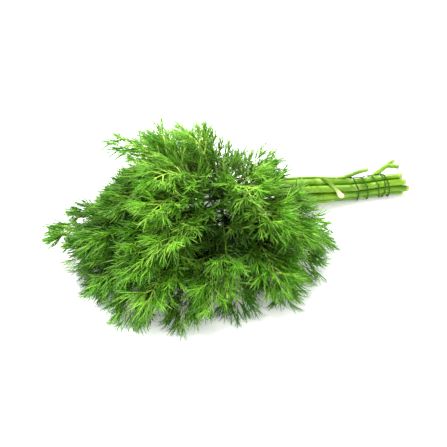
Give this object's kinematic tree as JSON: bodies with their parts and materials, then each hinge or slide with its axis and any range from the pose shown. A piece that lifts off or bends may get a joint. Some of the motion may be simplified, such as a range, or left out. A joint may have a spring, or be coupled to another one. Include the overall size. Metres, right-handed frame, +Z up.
{
  "type": "bunch of dill",
  "caption": "Bunch of fresh dill lying on its side: feathery arching leaves fan out from slender stems that are tied with green twine near their cut ends.",
  "frame": {"origin": "middle of the bottom of the bunch's box, on the surface that it lies on", "axes": "+X along the stems towards their cut ends, +Z up, +Y to the left of someone who looks from the foliage along the stems"},
  "size_m": [0.3292, 0.2042, 0.092],
  "materials": {
    "stem": "fresh dill stem, smooth and finely ribbed, waxy mid green, paler at joints and cut ends",
    "leaf": "fresh dill leaf, fine soft green threads on yellow-green ribs, slightly translucent",
    "leaf_stalk": "pale yellow-green leaf stalk with a whitish flattened sheath",
    "twine": "thin twisted dark green twine"
  },
  "bodies": {
    "root": {"stem_01": "stem", "stem_02": "stem", "stem_03": "stem", "stem_04": "stem", "stem_05": "stem", "stem_06": "stem", "stem_07": "stem", "stem_08": "stem", "stem_09": "stem", "stem_10": "stem", "stem_11": "stem", "leaf_01": "leaf", "leaf_02": "leaf", "leaf_03": "leaf", "leaf_04": "leaf", "leaf_05": "leaf", "leaf_06": "leaf", "leaf_07": "leaf", "leaf_08": "leaf", "leaf_09": "leaf", "leaf_10": "leaf", "leaf_11": "leaf", "leaf_12": "leaf", "leaf_13": "leaf", "leaf_14": "leaf", "leaf_15": "leaf", "leaf_16": "leaf", "leaf_17": "leaf", "leaf_18": "leaf", "leaf_19": "leaf", "leaf_20": "leaf", "leaf_21": "leaf", "leaf_22": "leaf", "leaf_23": "leaf", "leaf_24": "leaf", "leaf_25": "leaf", "leaf_26": "leaf", "leaf_27": "leaf", "leaf_28": "leaf", "leaf_29": "leaf", "leaf_30": "leaf", "leaf_31": "leaf", "leaf_32": "leaf", "leaf_33": "leaf", "leaf_34": "leaf", "leaf_35": "leaf", "leaf_36": "leaf", "leaf_37": "leaf", "leaf_38": "leaf", "leaf_39": "leaf", "leaf_40": "leaf", "leaf_41": "leaf", "leaf_42": "leaf", "leaf_43": "leaf", "leaf_44": "leaf", "leaf_45": "leaf", "leaf_46": "leaf", "leaf_47": "leaf", "cut_leaf_stalk": "leaf_stalk", "twine": "twine"}
  },
  "joints": []
}
